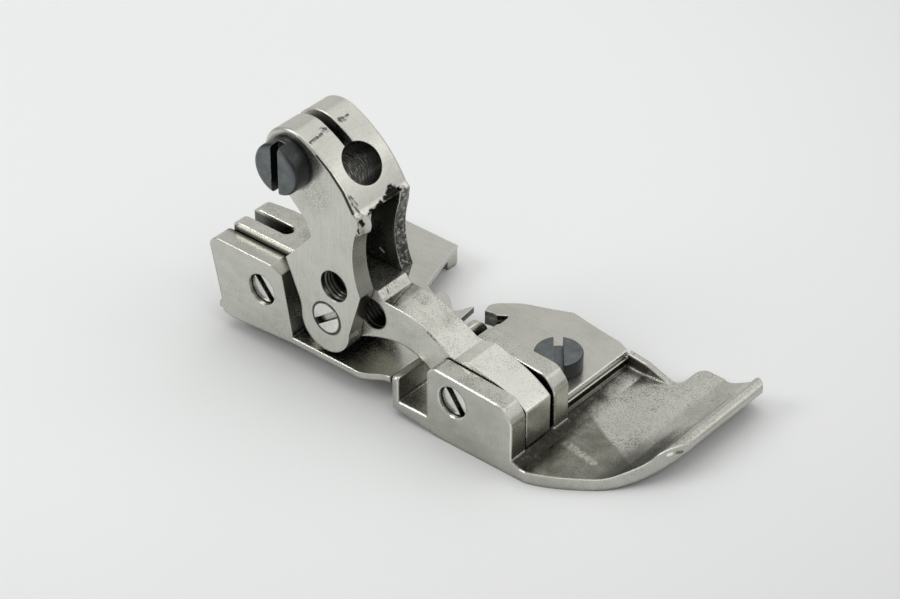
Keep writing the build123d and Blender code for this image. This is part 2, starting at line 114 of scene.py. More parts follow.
def vectorMaths(tree, operation, first, second=(0, 0, 0)):
    node = tree.nodes.new("ShaderNodeVectorMath")
    node.operation = operation
    feed(tree, node.inputs[0], first)
    feed(tree, node.inputs[1], second)
    return node.outputs["Value" if operation in ("DOT_PRODUCT", "LENGTH", "DISTANCE") else "Vector"]


def between(tree, value, low, high):
    # 0 below low, 1 above high, smooth in between; low may be the larger
    node = tree.nodes.new("ShaderNodeMapRange")
    node.interpolation_type = "SMOOTHSTEP"
    feed(tree, node.inputs["Value"], value)
    node.inputs["From Min"].default_value = low
    node.inputs["From Max"].default_value = high
    return node.outputs["Result"]


def anyOf(tree, masks):
    total = masks[0]
    for mask in masks[1:]:
        total = maths(tree, "MAXIMUM", total, mask)
    return total


def strokeMask(tree, coords, start, end, width):
    # a mask along a line from start to end, all in mm: gouges, chips, strips, painted shadow lines and painted glints
    origin = Vector(start) * mm
    run = Vector(end) * mm - origin
    offset = vectorMaths(tree, "SUBTRACT", coords, tuple(origin))
    share = vectorMaths(tree, "DOT_PRODUCT", offset, tuple(run))
    along = maths(tree, "DIVIDE", share, run.length_squared, clamp=True)
    scaled = tree.nodes.new("ShaderNodeVectorMath")
    scaled.operation = "SCALE"
    scaled.inputs[0].default_value = tuple(run)
    link(tree, along, scaled.inputs["Scale"])
    distance = vectorMaths(tree, "LENGTH", vectorMaths(tree, "SUBTRACT", offset, scaled.outputs["Vector"]))
    return between(tree, distance, width * mm, width * 0.35 * mm)


def product(tree, first, *others):
    for other in others:
        first = maths(tree, "MULTIPLY", first, other)
    return first


def holeDistance(tree, coords, centre, axis=(1, 0, 0)):
    # distance from a hole's axis
    offset = vectorMaths(tree, "SUBTRACT", coords, tuple(Vector(centre) * mm))
    return vectorMaths(tree, "LENGTH", vectorMaths(tree, "CROSS_PRODUCT", offset, axis))


def disc(tree, coords, centre, radii, axis=(1, 0, 0)):
    # 0 outside the first radius and 1 inside the second, in mm
    return between(tree, holeDistance(tree, coords, centre, axis), radii[0] * mm, radii[1] * mm)


def zone(tree, split, limits):
    # soft limits along the axes, each 0 at its first place and 1 at its second, in mm
    return product(tree, *[between(tree, split.outputs[axis], start * mm, end * mm) for axis, start, end in limits])


def paint(tree, base, mask, share, tone):
    # a coat of colour for dirt, wear, painted shade and painted highlights; the coats below hold its share and tone
    return mixColour(tree, product(tree, mask, share), base, tone)


# camera at the photograph's angle, its place in mm
cameraSettings = {"place": (-228.3, -188.54, 231.6), "aim": (0.6186, 0.5234, -0.5861), "lens": 132.2, "sensor": 36,
                  "nearest": 0.01}
cameraData = bpy.data.cameras.new("camera")
cameraData.lens = cameraSettings["lens"]
cameraData.sensor_width = cameraSettings["sensor"]
cameraData.clip_start = cameraSettings["nearest"]
camera = bpy.data.objects.new("camera", cameraData)
camera.location = Vector(cameraSettings["place"]) * mm
camera.rotation_euler = Vector(cameraSettings["aim"]).to_track_quat("-Z", "Y").to_euler()
bpy.context.collection.objects.link(camera)
bpy.context.scene.camera = camera
bpy.context.scene.view_settings.view_transform = "Standard"
print("camera ready")


# steels: satin base with stains, fine brushing, pits, grime and painted shade in the hollows, and edges worn bright and
# painted as highlights
steelSettings = {
    "shank_steel": {"colour": (0.60, 0.597, 0.545), "rough": 0.29, "stain": 0.05, "pits": 0.5, "pitShare": 0.43,
                    "topPits": 0.0, "brush": (900, 4200, 300), "brushing": 0.03, "grimeAndShade": 0.65, "edge": 0.65,
                    "round": 0.34},
    "arm_steel": {"colour": (0.60, 0.597, 0.545), "rough": 0.27, "stain": 0.08, "pits": 0.7, "pitShare": 0.45,
                  "topPits": 0.25, "brush": (4200, 300, 900), "brushing": 0.04, "grimeAndShade": 0.75, "edge": 0.45,
                  "round": 0.36},
    "rear_steel": {"colour": (0.56, 0.557, 0.507), "rough": 0.28, "stain": 0.05, "pits": 0.45, "pitShare": 0.43,
                   "topPits": 0.0, "brush": (4200, 300, 900), "brushing": 0.03, "grimeAndShade": 0.7, "edge": 0.2,
                   "round": 0.34},
    "front_steel": {"colour": (0.51, 0.507, 0.46), "rough": 0.25, "stain": 0.08, "pits": 0.7, "pitShare": 0.44,
                    "topPits": 0.22, "brush": (4200, 300, 900), "brushing": 0.03, "grimeAndShade": 0.75, "edge": 0.75,
                    "round": 0.55, "contourHighlight": 1.0},
    "guard_steel": {"colour": (0.53, 0.527, 0.477), "rough": 0.28, "stain": 0.05, "pits": 0.4, "pitShare": 0.42,
                    "topPits": 0.0, "brush": (4200, 300, 900), "brushing": 0.025, "grimeAndShade": 0.6, "edge": 0.8,
                    "round": 0.38},
    "bright_pin": {"colour": (0.78, 0.775, 0.735), "rough": 0.24, "stain": 0.12, "pits": 0.3, "pitShare": 0.43,
                   "topPits": 0.0, "brush": (900, 4200, 900), "brushing": 0.05, "grimeAndShade": 0.85, "edge": 0.6,
                   "round": 0.3},
}
# noise: scale, detail and roughness
grain = {"stains": (210, 5, 0.62), "fine": (3400, 3, 0.6), "brushed": (1.0, 3, 0.6), "hairs": (1.0, 2, 0.5),
         "pits": (8200, 3, 0.62), "patches": (330, 4, 0.65), "brightEdges": (500, 3), "ragged": (2600, 3),
         "dots": (7000, 3, 0.6), "coarse": (1900, 4, 0.7), "turned": (1.0, 3, 0.65), "saddleMottle": (520, 4, 0.65),
         "hook": (700, 3), "smear": (420, 5, 0.65), "scraped": (2100, 4, 0.7), "specks": (5200, 3, 0.6),
         "stepBand": (1700, 5, 0.7), "oxide": (650, 5, 0.6), "oxideWear": (1500, 3), "oxideRough": (2500, 3),
         "oxideBump": (3800, 3)}
steelTones = {"pit": (0.075, 0.066, 0.052), "brightEdgeTone": (0.90, 0.895, 0.86), "gouge": (0.07, 0.065, 0.055),
              "contourHighlight": (0.95, 0.945, 0.91), "grimeAndShade": (0.11, 0.10, 0.085), "hollowShade": (0.028, 0.027, 0.024),
              "glint": (0.62, 0.61, 0.56)}
hairScale, hairTurn, brushTurn = (2600, 2200, 260), (38, 20, 51), (8, 5, 12)
narrowEdge, nearReach, hollowReach, bumpDepth = 0.17 * mm, 1.1 * mm, 4 * mm, 0.05 * mm
leftwards, smoothest = (-1, -0.3, 0), 0.14

# gouges, chips and painted shadow lines: start, end and width in mm
shankMarks = [
    ((-4.3, 21.2, 31.34), (-2.3, 21.36, 31.42), 0.3), ((-1.75, 21.75, 31.6), (-1.45, 21.5, 31.49), 0.5),
    ((1.05, 21.62, 31.55), (1.5, 21.5, 31.49), 0.5), ((2.1, 21.6, 31.54), (2.45, 21.66, 31.56), 0.26),
    ((-4.38, 15.7, 26.67), (-4.3, 15.0, 25.7), 0.16), ((-4.1, 15.6, 26.5), (-3.7, 14.8, 25.3), 0.16),
    ((-4.37, 15.1, 25.8), (-3.9, 14.35, 24.7), 0.2), ((2.9, 14.3, 24.6), (3.3, 14.1, 24.3), 0.3),
    ((2.55, 14.6, 22.4), (3.9, 14.7, 21.4), 0.14), ((2.6, 14.9, 19.4), (3.5, 14.9, 18.6), 0.16),
]
# chips at the pocket's edge and the lug's pit, painted dark as shade, and painted shadow lines along the lug's left and
# lower edges
shankChipShade = [
    ((-2.9, 14.0, 24.3), (-2.2, 14.1, 24.4), 0.3), ((-1.4, 14.1, 24.4), (-0.5, 14.15, 24.5), 0.36),
    ((0.2, 14.25, 24.6), (2.5, 14.3, 24.65), 0.5), ((0.9, 14.55, 24.9), (2.1, 14.6, 24.95), 0.5),
    ((1.3, 14.85, 25.2), (1.8, 14.85, 25.2), 0.4), ((-4.35, 13.9, 24.0), (-4.0, 13.8, 23.4), 0.45),
    ((-4.78, 14.0, 24.6), (-4.78, 13.85, 22.3), 0.17), ((-4.75, 13.8, 22.15), (-2.9, 13.8, 21.8), 0.2),
    ((-4.7, 14.3, 21.9), (-2.9, 14.3, 21.6), 0.22),
]
armMarks = [
    ((-2.42, 5.9, 11.5), (-2.3, 4.17, 10.62), 0.16), ((-2.3, 4.17, 10.62), (-2.2, 2.9, 9.95), 0.22),
    ((-2.2, 2.9, 9.95), (-2.42, 1.7, 9.6), 0.2), ((-1.6, 11.4, 12.69), (0.46, 11.84, 12.72), 0.14),
    ((0.46, 11.84, 12.72), (2.2, 12.15, 12.74), 0.14), ((-2.2, 12.3, 12.8), (-1.9, 11.0, 12.7), 0.3),
    ((-0.9, 13.4, 13.65), (-1.2, 12.7, 13.05), 0.16),
]


def makeSteel(name, settings, marks=(), dress=None, glint=None):
    material = bpy.data.materials.new(name)
    material.use_nodes = True
    tree = material.node_tree
    shader = tree.nodes["Principled BSDF"]
    place = tree.nodes.new("ShaderNodeTexCoord")
    coords, facing = place.outputs["Object"], place.outputs["Normal"]
    split, face = tree.nodes.new("ShaderNodeSeparateXYZ"), tree.nodes.new("ShaderNodeSeparateXYZ")
    link(tree, coords, split.inputs[0])
    link(tree, facing, face.inputs[0])
    upward = between(tree, face.outputs["Z"], 0.55, 0.9)
    shader.inputs["Metallic"].default_value = 1.0

    # stains and brushing
    stains = noise(tree, coords, *grain["stains"])
    fine = noise(tree, coords, *grain["fine"])
    brushed = noise(tree, mapped(tree, coords, settings["brush"], brushTurn), *grain["brushed"])
    hairs = noise(tree, mapped(tree, coords, hairScale, hairTurn), *grain["hairs"])
    amount, lines = settings["stain"], settings["brushing"]
    dark = tuple(c * (1 - amount * 1.5) for c in settings["colour"])
    light = tuple(min(1.0, c * (1 + amount)) for c in settings["colour"])
    brushTone = ramp(tree, brushed, [(0.36, 1 - lines * 1.6), (0.64, 1 + lines)])
    hairTone = ramp(tree, hairs, [(0.47, 1.0), (0.5, 0.95), (0.53, 1.0)])
    base = ramp(tree, stains, [(0.34, dark), (0.5, settings["colour"]), (0.68, light)])
    base = mixColour(tree, 1.0, base, brushTone, "MULTIPLY")
    base = mixColour(tree, 1.0, base, hairTone, "MULTIPLY")

    # pits, denser in patches and on the tops
    patches = between(tree, noise(tree, coords, *grain["patches"]), 0.44, 0.66)
    limit = maths(tree, "ADD", patches, product(tree, upward, settings["topPits"] * 4))
    limit = maths(tree, "ADD", product(tree, limit, 0.085), settings["pitShare"] - 0.13)
    over = maths(tree, "SUBTRACT", limit, noise(tree, coords, *grain["pits"]))
    speck = product(tree, between(tree, over, 0.0, 0.045), settings["pits"])
    base = mixColour(tree, speck, base, steelTones["pit"])

    # rounded edges, wider on the side that points left, worn bright and painted as highlights
    wide = addNode(tree, "ShaderNodeBevel", samples=8, Radius=settings["round"] * mm).outputs["Normal"]
    narrow = addNode(tree, "ShaderNodeBevel", samples=6, Radius=narrowEdge).outputs["Normal"]
    lean = vectorMaths(tree, "DOT_PRODUCT", wide, leftwards)
    rounded = mixColour(tree, between(tree, lean, 0.02, 0.18), narrow, wide)
    flat = tree.nodes.new("ShaderNodeNewGeometry").outputs["Normal"]
    bend = vectorMaths(tree, "DOT_PRODUCT", rounded, flat)
    near = addNode(tree, "ShaderNodeAmbientOcclusion", samples=4, Distance=nearReach).outputs["AO"]
    edgeBreakup = ramp(tree, noise(tree, coords, *grain["brightEdges"]), [(0.32, 0.55), (0.6, 1.0)])
    brightEdges = product(tree, between(tree, bend, 0.985, 0.80), between(tree, near, 0.5, 0.78), edgeBreakup, settings["edge"])
    base = mixColour(tree, brightEdges, base, steelTones["brightEdgeTone"])

    height = maths(tree, "ADD", product(tree, fine, 0.25), product(tree, brushed, 0.15))
    height = maths(tree, "SUBTRACT", height, speck)
    if marks:
        gouge = anyOf(tree, [strokeMask(tree, coords, *mark) for mark in marks])
        ragged = ramp(tree, noise(tree, coords, *grain["ragged"]), [(0.38, 0.0), (0.54, 1.0)])
        base = mixColour(tree, product(tree, gouge, ragged, 0.9), base, steelTones["gouge"])
        height = maths(tree, "SUBTRACT", height, product(tree, gouge, 2.2))
    if dress is not None:
        base = dress(tree, coords, split, face, upward, base)
    # a painted highlight along the front sole's bright edges
    if "contourHighlight" in settings:
        base = paint(tree, base, brightEdges, settings["contourHighlight"], steelTones["contourHighlight"])

    # grime and painted shade in corners, and painted shade that makes holes nearly black
    hollowShade = addNode(tree, "ShaderNodeAmbientOcclusion", samples=6, Distance=hollowReach).outputs["AO"]
    base = mixColour(tree, ramp(tree, near, [(0.2, settings["grimeAndShade"]), (0.7, 0.0)]), base, steelTones["grimeAndShade"])
    base = mixColour(tree, between(tree, hollowShade, 0.50, 0.12), base, steelTones["hollowShade"])
    # painted glints, where the shader is also made less metallic
    if glint is not None:
        shine = glint(tree, coords, split)
        base = mixColour(tree, shine, base, steelTones["glint"])
        link(tree, maths(tree, "SUBTRACT", 1.0, product(tree, shine, 0.9)), shader.inputs["Metallic"])
    link(tree, base, shader.inputs["Base Color"])

    rough = maths(tree, "ADD", settings["rough"], product(tree, maths(tree, "SUBTRACT", stains, 0.5), 0.28))
    rough = maths(tree, "ADD", rough, product(tree, maths(tree, "SUBTRACT", fine, 0.5), 0.16))
    rough = maths(tree, "ADD", rough, product(tree, speck, 0.4))
    link(tree, maths(tree, "MAXIMUM", rough, smoothest), shader.inputs["Roughness"])
    bump = addNode(tree, "ShaderNodeBump", Strength=0.35, Distance=bumpDepth)
    link(tree, height, bump.inputs["Height"])
    link(tree, rounded, bump.inputs["Normal"])
    link(tree, bump.outputs["Normal"], shader.inputs["Normal"])
    return material


shankZones = {
    "holeSide": [("X", -2.2, -2.4)], "leftFace": [("X", -4.62, -4.72)], "ringFace": [("X", -4.6, -4.7)],
    "underCrown": [("Z", 24.6, 24.0)], "leftLeg": [("X", -2.2, -2.6), ("Z", 21.9, 21.6)], "rightLeg": [("X", 2.2, 2.6)],
    "pocket": [("X", 2.58, 2.51), ("X", -2.58, -2.51), ("Z", 13.2, 14.0), ("Y", 14.2, 14.8), ("Z", 25.0, 24.6)],
    "boreSide": [("X", 0.2, 1.2)],
}
shankTones = {"bore": (0.05, 0.049, 0.045), "chipShadeTone": (0.012, 0.012, 0.011)}
shankCoats = {
    "hole": (0.72, (0.045, 0.043, 0.038)), "line": (0.92, (0.03, 0.028, 0.023)), "dots": (0.65, (0.09, 0.085, 0.07)),
    "headReflection": (0.6, (0.10, 0.095, 0.08)), "pocket": (0.6, (0.03, 0.03, 0.028)), "leftLeg": (0.68, (0.14, 0.135, 0.115)),
}
rightLegShare = 0.95
shankGroove = [
    ((-4.82, 19.9, 30.4), (-4.78, 17.99, 29.04), 0.2), ((-4.78, 17.99, 29.04), (-4.74, 16.15, 27.16), 0.22),
    ((-4.74, 16.15, 27.16), (-4.78, 14.7, 24.9), 0.24),
]
# a painted glint on the right leg's inner face in the pocket
pocketGlint = ((2.49, 17.2, 15.35), (2.49, 16.6, 15.0), 0.17)
shankRing = {"centre": (0, 19.0, 8.62), "radii": (2.3, 2.12)}
shankPatch = {"centre": (-4.8, 20.3, 25.1), "from": 3.4, "full": 1.2}
jagScale, jagWidth = 1500.0, 0.7 * mm
haloRadii, turnScale, turnAngle, turnDepth = (3.7, 3.3), (900, 6200, 900), (45, 0, 0), (1 * mm, 3 * mm)


def dressShank(tree, coords, split, face, upward, base):
    # painted shade in the bore, the lock hole and the pocket and on the left leg's front, a painted reflection of the
    # clamp screw's head, lines round the screw and along the clamp, chipped and rough edges of the pocket painted dark
    # as shade, and painted shadow lines round the lug
    tones, coats, zones = shankTones, shankCoats, shankZones
    # painted shade inside the crown's bore
    bore = disc(tree, coords, crownBore["centre"], crownBore["radii"], crownBore["axis"])
    base = mixColour(tree, bore, base, tones["bore"])
    # painted shade inside the lock hole
    hole = product(tree, disc(tree, coords, legHole, holeRadii), zone(tree, split, zones["holeSide"]))
    base = paint(tree, base, hole, *coats["hole"])
    ring = disc(tree, coords, shankRing["centre"], shankRing["radii"])
    ring = product(tree, ring, zone(tree, split, zones["ringFace"]))
    lines = anyOf(tree, [ring] + [strokeMask(tree, coords, *line) for line in shankGroove])
    base = paint(tree, base, lines, *coats["line"])
    away = vectorMaths(tree, "DISTANCE", coords, tuple(Vector(shankPatch["centre"]) * mm))
    patch = between(tree, away, shankPatch["from"] * mm, shankPatch["full"] * mm)
    dots = between(tree, noise(tree, coords, *grain["dots"]), 0.46, 0.40)
    base = paint(tree, base, product(tree, patch, dots), *coats["dots"])
    # a painted reflection of the black clamp screw's head, darker round it on the left face
    headReflection = product(tree, zone(tree, split, zones["leftFace"]), disc(tree, coords, clampCentre, haloRadii))
    base = paint(tree, base, headReflection, *coats["headReflection"])
    # painted shade in the pocket between the legs
    pocket = product(tree, zone(tree, split, zones["pocket"]), maths(tree, "SUBTRACT", 1.0, bore))
    base = paint(tree, base, pocket, *coats["pocket"])
    # painted shade on the front faces of the left leg under the crown
    ahead = product(tree, between(tree, face.outputs["Y"], -0.35, -0.7), zone(tree, split, zones["underCrown"]))
    base = paint(tree, base, product(tree, ahead, zone(tree, split, zones["leftLeg"])), *coats["leftLeg"])
    coarse = ramp(tree, noise(tree, coords, *grain["coarse"]), [(0.42, 0.03), (0.54, 0.16), (0.64, 0.85)])
    rightLeg = product(tree, ahead, zone(tree, split, zones["rightLeg"]))
    base = paint(tree, base, rightLeg, rightLegShare, mixColour(tree, 1.0, base, coarse, "MULTIPLY"))
    jag = addNode(tree, "ShaderNodeTexNoise", Scale=jagScale, Detail=3.0, Roughness=0.6)
    link(tree, coords, jag.inputs["Vector"])
    shifted = vectorMaths(tree, "ADD", coords, vectorMaths(tree, "MULTIPLY", jag.outputs["Color"], (jagWidth,) * 3))
    shifted = vectorMaths(tree, "SUBTRACT", shifted, (jagWidth / 2,) * 3)
    # chips painted near black as shade, with painted shadow lines round the lug
    chipShade = anyOf(tree, [strokeMask(tree, shifted, *chipShadeTone) for chipShadeTone in shankChipShade])
    return mixColour(tree, chipShade, base, tones["chipShadeTone"])


def glintShank(tree, coords, split):
    # turning marks deep in the bore, painted as glints, and one painted glint on the pocket's wall
    turned = mapped(tree, mapped(tree, coords, (1, 1, 1), turnAngle), turnScale)
    marks = between(tree, noise(tree, turned, *grain["turned"]), 0.53, 0.63)
    offset = vectorMaths(tree, "SUBTRACT", coords, tuple(Vector(crownBore["centre"]) * mm))
    depth = between(tree, vectorMaths(tree, "DOT_PRODUCT", offset, crownBore["inward"]), *turnDepth)
    bore = disc(tree, coords, crownBore["centre"], crownBore["radii"], crownBore["axis"])
    marks = product(tree, marks, bore, depth, zone(tree, split, shankZones["boreSide"]), 0.75)
    return maths(tree, "MAXIMUM", marks, strokeMask(tree, coords, *pocketGlint))


armZones = {
    "slot": [("Y", 27.7, 28.3), ("Z", 13.35, 12.9), ("X", -2.2, -1.8), ("X", 2.6, 2.2)],
    "flank": [("X", -2.36, -2.41), ("Y", 24.0, 25.0), ("Z", 13.3, 12.7)],
    "saddle": [("Y", 10.4, 11.2), ("Y", 13.4, 12.8)], "pad": [("Y", 6.0, 4.0)],
}
armCoats = {"hole": (0.82, (0.045, 0.043, 0.038)), "slot": (0.85, (0.06, 0.057, 0.05)),
            "pad": (0.6, (0.76, 0.755, 0.70))}
saddleTone = (0.12, 0.115, 0.095)


def dressArm(tree, coords, split, face, upward, base):
    # painted shade in the cross hole, in the slot and on the flank at the fork, a bright pad, and a darker mottled
    # saddle
    base = paint(tree, base, disc(tree, coords, armHole, holeRadii), *armCoats["hole"])
    # painted shade in the slot and on the flank at the fork
    sunk = maths(tree, "MAXIMUM", zone(tree, split, armZones["slot"]), zone(tree, split, armZones["flank"]))
    base = paint(tree, base, sunk, *armCoats["slot"])
    base = paint(tree, base, product(tree, upward, zone(tree, split, armZones["pad"])), *armCoats["pad"])
    # a darker mottled patch on the saddle
    saddleMottle = ramp(tree, noise(tree, coords, *grain["saddleMottle"]), [(0.35, 0.35), (0.65, 0.7)])
    saddle = product(tree, upward, zone(tree, split, armZones["saddle"]))
    return paint(tree, base, saddle, saddleMottle, saddleTone)


rearZones = {"groove": [("Z", 11.8, 12.1), ("X", -3.4, -2.6)], "tips": [("X", 8.8, 9.6), ("Y", 19.0, 18.0)]}
rearCoats = {"groove": (0.8, (0.07, 0.066, 0.055)), "tips": (0.8, (0.05, 0.047, 0.04))}


def dressRear(tree, coords, split, face, upward, base):
    # painted shade in the groove beside the arm and on the front faces of the horn and tab
    base = paint(tree, base, zone(tree, split, rearZones["groove"]), *rearCoats["groove"])
    tips = product(tree, zone(tree, split, rearZones["tips"]), between(tree, face.outputs["Z"], 0.6, 0.3))
    return paint(tree, base, tips, *rearCoats["tips"])


guardZones = {"front": [("Y", -6.8, -7.1)], "plate": [("Z", 3.5, 3.7)], "shim": [("Z", 3.4, 3.3)],
              "foot": [("Z", 2.62, 2.54)], "hook": [("Y", 6.0, 6.6)]}
guardTones = {"plate": (0.93, 0.925, 0.89), "shim": (0.035, 0.033, 0.028), "foot": (0.93, 0.92, 0.87),
              "hook": (0.04, 0.037, 0.03)}


def dressGuard(tree, coords, split, face, upward, base):
    # painted highlight on the plate's front edge, painted shade on the shim's front below it with one painted highlight
    # line at its foot, and a darker mottled hook notch
    zones, tones = guardZones, guardTones
    front = product(tree, zone(tree, split, zones["front"]), between(tree, face.outputs["Y"], -0.4, -0.8))
    base = mixColour(tree, product(tree, front, zone(tree, split, zones["plate"])), base, tones["plate"])
    shimTone = mixColour(tree, zone(tree, split, zones["foot"]), tones["shim"], tones["foot"])
    base = mixColour(tree, product(tree, front, zone(tree, split, zones["shim"])), base, shimTone)
    hook = product(tree, zone(tree, split, zones["hook"]), between(tree, face.outputs["Z"], 0.6, 0.3))
    hookMottle = ramp(tree, noise(tree, coords, *grain["hook"]), [(0.4, 0.9), (0.62, 0.4)])
    return paint(tree, base, hook, hookMottle, tones["hook"])


pinRim = {"radii": (1.78, 1.96), "coat": (0.9, (0.04, 0.038, 0.03))}


def dressPins(tree, coords, split, face, upward, base):
    # dark rims of the three sunk heads
    away = holeDistance(tree, coords, pinCentres[0])
    for centre in pinCentres[1:]:
        away = maths(tree, "MINIMUM", away, holeDistance(tree, coords, centre))
    rim = between(tree, away, pinRim["radii"][0] * mm, pinRim["radii"][1] * mm)
    return paint(tree, base, rim, *pinRim["coat"])


frontZones = {
    "floor": [("Z", 4.7, 4.0)], "toe": [("Y", -7.6, -8.2)],
    "bend": [("Y", -16.0, -18.2), ("Y", -21.9, -20.7), ("X", 11.5, 4.0)],
    "step": [("Z", 3.0, 2.6), ("Y", -7.6, -8.0)],
    "wall": [("X", 16.6, 16.9), ("Z", 1.6, 1.9), ("Y", -7.6, -7.8)],
}
frontTones = {"filmAndReflection": (0.15, 0.15, 0.122), "strip": (0.5, 0.49, 0.44), "dentGlint": (0.96, 0.955, 0.92),
              "stepBand": (0.03, 0.028, 0.022)}
frontCoats = {"bend": (0.8, (0.07, 0.07, 0.06)), "dent": (0.8, (0.10, 0.095, 0.08)),
              "specks": (0.45, (0.10, 0.085, 0.06)), "wall": (0.85, (0.06, 0.055, 0.045))}
frontStrokes = {
    "strip": ((1.9, -10.9, 1.54), (1.2, -15.2, 1.54), 0.75), "dent": ((6.9, -22.5, 3.24), (7.6, -22.7, 3.0), 0.3),
    "dentGlint": ((5.75, -22.1, 3.4), (6.2, -22.25, 3.36), 0.3),
}
filmSlope, filmEdge, filmWaver = 0.467, (13.1, 12.5), 1.2 * mm
crustSlope, crustEdge, crustWaver = 0.15, (-10.6, -8.5), 3 * mm


def dressFront(tree, coords, split, face, upward, base):
    # oily film and painted dark reflection with a slanted edge, light strip, dark bend, dent in the rim with a painted
    # highlight beside it, a dark band along the step, dark side wall
    x, y = split.outputs["X"], split.outputs["Y"]
    zones, tones, coats = frontZones, frontTones, frontCoats
    strokes = {key: strokeMask(tree, coords, *stroke) for key, stroke in frontStrokes.items()}
    floor = product(tree, upward, zone(tree, split, zones["floor"]))
    toe = product(tree, floor, zone(tree, split, zones["toe"]))
    smear = noise(tree, coords, *grain["smear"])
    slant = maths(tree, "SUBTRACT", x, product(tree, y, filmSlope))
    slant = maths(tree, "ADD", slant, product(tree, smear, filmWaver))
    # oily film on the toe's left, with a painted dark reflection
    filmAndReflection = product(tree, toe, between(tree, slant, filmEdge[0] * mm, filmEdge[1] * mm))
    base = paint(tree, base, filmAndReflection, ramp(tree, smear, [(0.3, 0.55), (0.65, 0.9)]), tones["filmAndReflection"])
    scraped = ramp(tree, noise(tree, coords, *grain["scraped"]), [(0.38, 0.0), (0.55, 0.9)])
    base = paint(tree, base, strokes["strip"], scraped, tones["strip"])
    bend = product(tree, zone(tree, split, zones["bend"]), between(tree, face.outputs["Z"], 0.3, 0.6))
    base = paint(tree, base, bend, *coats["bend"])
    base = paint(tree, base, strokes["dent"], *coats["dent"])
    # a painted highlight beside the dent
    base = mixColour(tree, strokes["dentGlint"], base, tones["dentGlint"])
    specks = between(tree, noise(tree, coords, *grain["specks"]), 0.42, 0.37)
    base = paint(tree, base, product(tree, toe, specks), *coats["specks"])
    # a dark band along the step
    reach = maths(tree, "ADD", y, product(tree, smear, crustWaver))
    reach = maths(tree, "SUBTRACT", reach, product(tree, x, crustSlope))
    step = product(tree, floor, zone(tree, split, zones["step"]))
    step = product(tree, step, between(tree, reach, crustEdge[0] * mm, crustEdge[1] * mm))
    stepBand = ramp(tree, noise(tree, coords, *grain["stepBand"]), [(0.36, 1.0), (0.56, 0.93), (0.70, 0.6)])
    base = paint(tree, base, step, stepBand, tones["stepBand"])
    wall = product(tree, zone(tree, split, zones["wall"]), between(tree, face.outputs["X"], -0.4, -0.8))
    return paint(tree, base, wall, *coats["wall"])


# black oxide: lighter flat ends, flanks painted darker as shade, rubbed edges
blackTones = {"dark": (0.095, 0.105, 0.108), "light": (0.175, 0.188, 0.188), "brightEdgeTone": (0.42, 0.42, 0.40),
              "slot": (0.015, 0.015, 0.015)}
blackFlank = (0.72, (0.022, 0.024, 0.025))
blackEdge, blackReach, blackBump = 0.18 * mm, 0.8 * mm, 0.04 * mm
clampFrom, clampFull = 14 * mm, 16 * mm


def makeBlack(name):
    material = bpy.data.materials.new(name)
    material.use_nodes = True
    tree = material.node_tree
    shader = tree.nodes["Principled BSDF"]
    place = tree.nodes.new("ShaderNodeTexCoord")
    coords, facing = place.outputs["Object"], place.outputs["Normal"]
    split, face = tree.nodes.new("ShaderNodeSeparateXYZ"), tree.nodes.new("ShaderNodeSeparateXYZ")
    link(tree, coords, split.inputs[0])
    link(tree, facing, face.inputs[0])
    shader.inputs["Metallic"].default_value = 1.0
    base = ramp(tree, noise(tree, coords, *grain["oxide"]), [(0.3, blackTones["dark"]), (0.7, blackTones["light"])])

    # the clamp screw, above, lies along X and the guard screw stands upright
    high = between(tree, split.outputs["Z"], clampFrom, clampFull)
    along = mixColour(tree, high, face.outputs["Z"], face.outputs["X"])
    # painted shade on the flanks
    flank = between(tree, maths(tree, "ABSOLUTE", along), 0.9, 0.6)
    base = paint(tree, base, flank, *blackFlank)
    rounded = addNode(tree, "ShaderNodeBevel", samples=6, Radius=blackEdge).outputs["Normal"]
    flat = tree.nodes.new("ShaderNodeNewGeometry").outputs["Normal"]
    bend = vectorMaths(tree, "DOT_PRODUCT", rounded, flat)
    near = addNode(tree, "ShaderNodeAmbientOcclusion", samples=4, Distance=blackReach).outputs["AO"]
    edgeBreakup = ramp(tree, noise(tree, coords, *grain["oxideWear"]), [(0.4, 0.0), (0.62, 0.55)])
    brightEdges = product(tree, between(tree, bend, 0.99, 0.85), between(tree, near, 0.5, 0.75), edgeBreakup)
    base = mixColour(tree, brightEdges, base, blackTones["brightEdgeTone"])
    # painted shade in the slots and where the heads sit close to other parts
    base = mixColour(tree, between(tree, near, 0.62, 0.2), base, blackTones["slot"])
    link(tree, base, shader.inputs["Base Color"])
    rough = ramp(tree, noise(tree, coords, *grain["oxideRough"]), [(0.3, 0.27), (0.7, 0.42)])
    link(tree, rough, shader.inputs["Roughness"])
    bump = addNode(tree, "ShaderNodeBump", Strength=0.2, Distance=blackBump)
    link(tree, noise(tree, coords, *grain["oxideBump"]), bump.inputs["Height"])
    link(tree, rounded, bump.inputs["Normal"])
    link(tree, bump.outputs["Normal"], shader.inputs["Normal"])
    return material


extras = {
    "shank_steel": {"marks": shankMarks, "dress": dressShank, "glint": glintShank},
    "arm_steel": {"marks": armMarks, "dress": dressArm}, "rear_steel": {"dress": dressRear},
    "front_steel": {"dress": dressFront}, "guard_steel": {"dress": dressGuard}, "bright_pin": {"dress": dressPins},
}
materials = {slot: makeSteel(slot, settings, **extras.get(slot, {})) for slot, settings in steelSettings.items()}
materials["black_screw"] = makeBlack("black_screw")
slotOf = {part["node"]: part["material_slot"] for part in frame["record"]["subparts"]}
for nodeName, nodeObject in frame["nodes"].items():
    nodeObject.data.materials.clear()
    nodeObject.data.materials.append(materials[slotOf[nodeName]])
print("steels ready:", len(materials))


